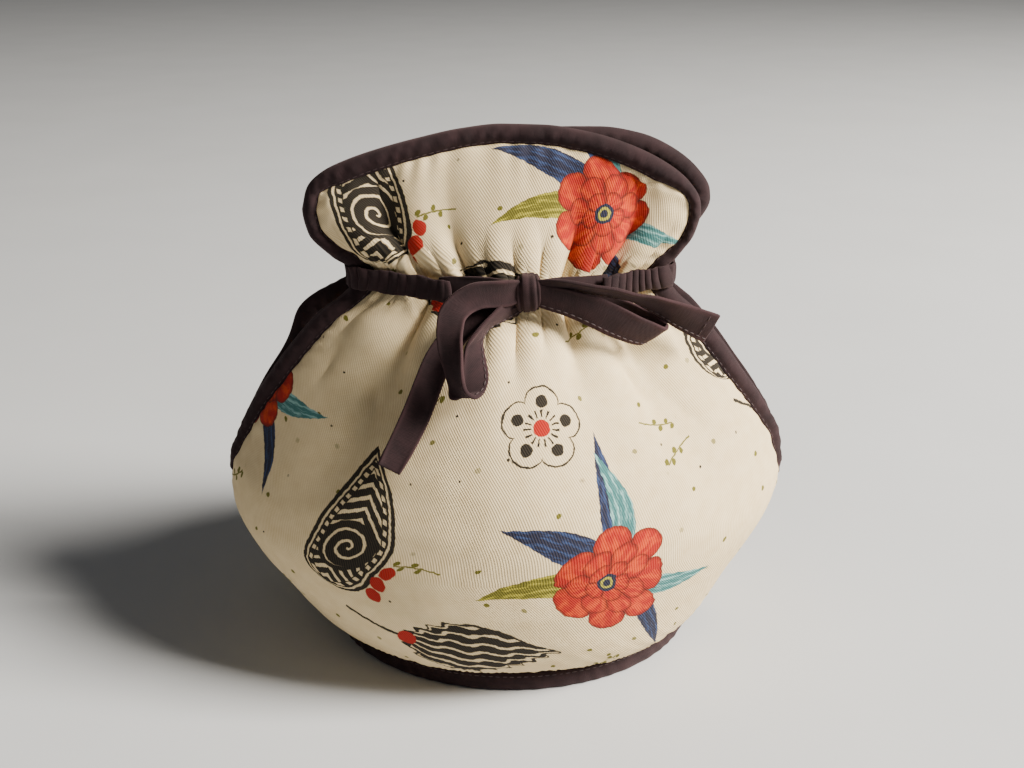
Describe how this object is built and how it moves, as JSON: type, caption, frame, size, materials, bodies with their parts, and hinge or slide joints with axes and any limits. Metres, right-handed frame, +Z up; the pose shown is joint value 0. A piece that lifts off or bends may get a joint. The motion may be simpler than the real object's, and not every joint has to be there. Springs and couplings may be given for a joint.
{
  "type": "tea cosy",
  "caption": "Padded cotton tea cosy with a drawn-in neck, flared collar, bound edges, side slits for spout and handle, and a tied bow.",
  "frame": {"origin": "on the surface the cosy stands on, below the middle of the whole cosy, which is 3.2 mm to the left of the hem's centre", "axes": "+Z up, +X towards the handle slit, -X towards the spout slit, -Y towards the front with the bow"},
  "size_m": [0.2393, 0.1786, 0.2214],
  "materials": {
    "printed_cotton": "cream cotton twill, padded, with a multi-coloured printed pattern, matt",
    "plum_binding": "plain dark plum cotton binding, matt, slightly worn at the folds",
    "plum_tie": "plain dark plum cotton tie, folded and stitched flat, matt"
  },
  "bodies": {
    "root": {"panel_front": "printed_cotton", "panel_back": "printed_cotton", "binding_front": "plum_binding", "binding_back": "plum_binding", "hem_binding": "plum_binding", "neck_casing": "plum_binding", "neck_tie": "plum_tie"}
  },
  "joints": []
}
